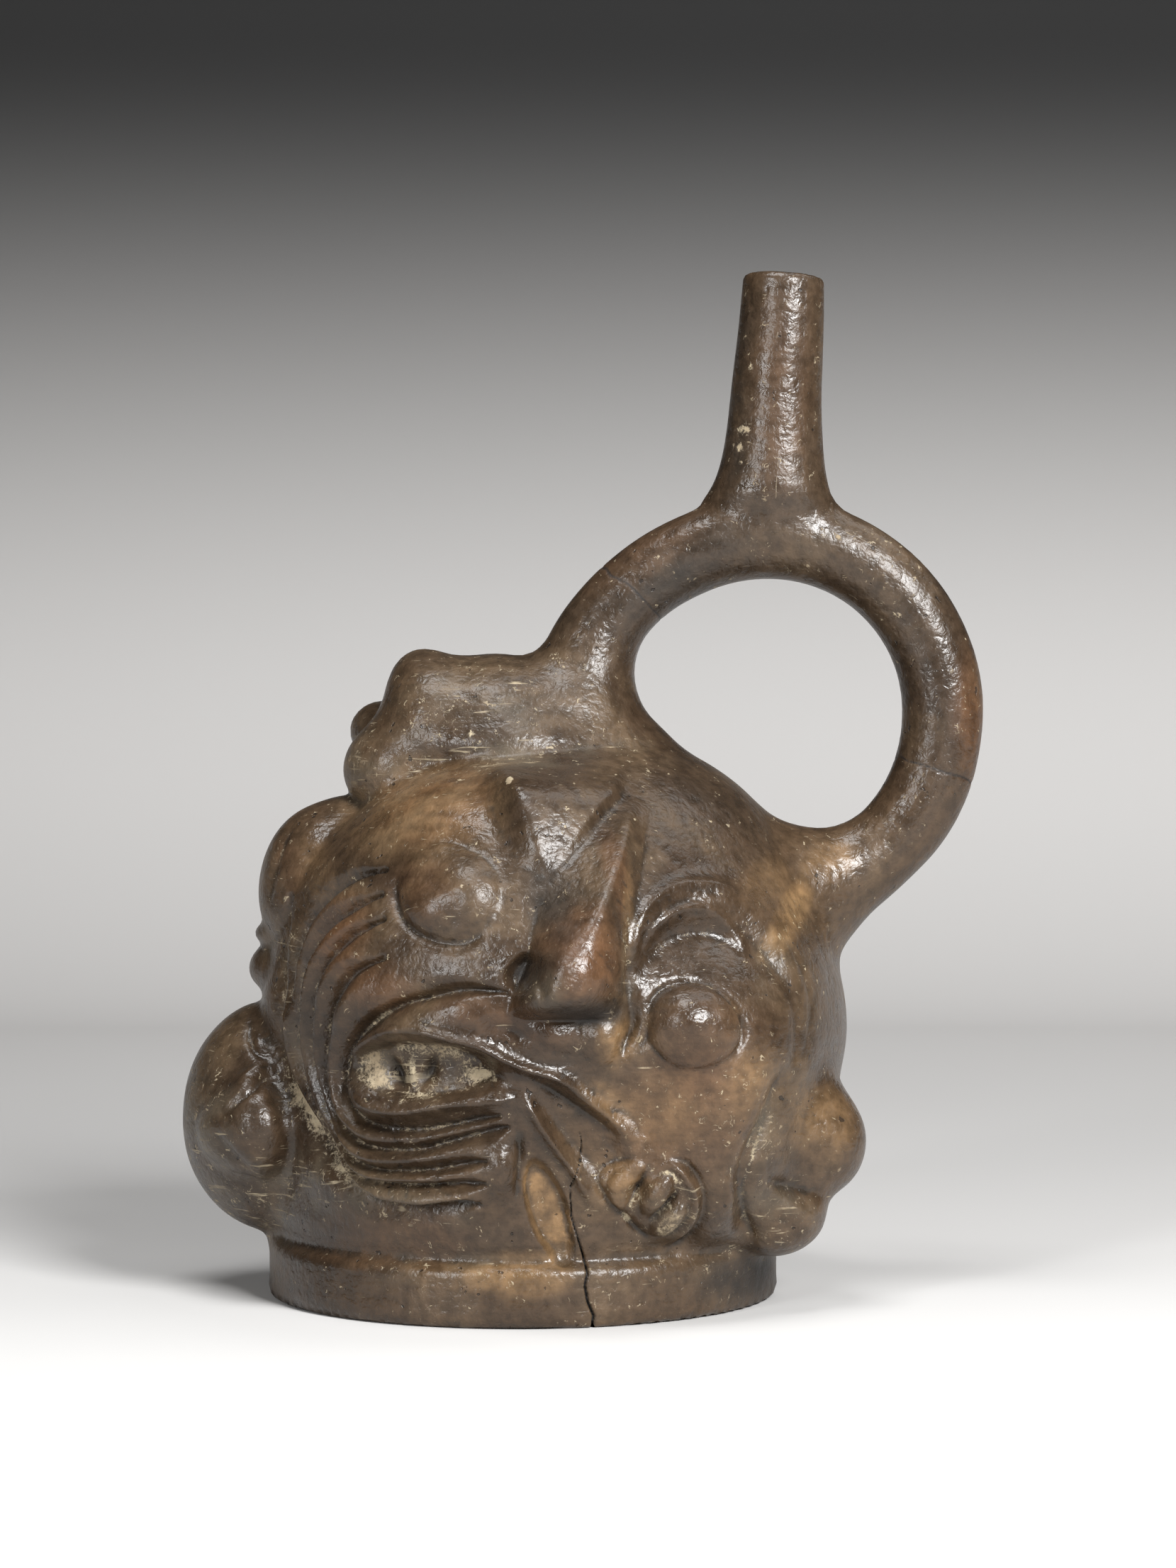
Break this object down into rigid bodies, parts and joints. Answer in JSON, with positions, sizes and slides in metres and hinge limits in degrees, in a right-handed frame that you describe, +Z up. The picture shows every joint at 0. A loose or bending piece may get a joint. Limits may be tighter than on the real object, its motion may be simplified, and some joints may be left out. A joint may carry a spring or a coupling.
{
  "type": "stirrup spout bottle",
  "caption": "Burnished clay bottle: a lumpy, grotesque-faced hollow chamber on a low ring foot, with a looped tubular handle that carries the upright pouring spout.",
  "frame": {"origin": "on the table, under the middle of the vessel's bounding box", "axes": "+Z up through the spout, -Y towards the viewer of the carved face, +X to the side of the loop handle"},
  "size_m": [0.1974, 0.1512, 0.2504],
  "materials": {
    "burnished_clay": "burnished dark brown clay with a satin sheen, smoke-blackened in places, with pale deposits in the carving"
  },
  "bodies": {
    "root": {"vessel": "burnished_clay"}
  },
  "joints": []
}
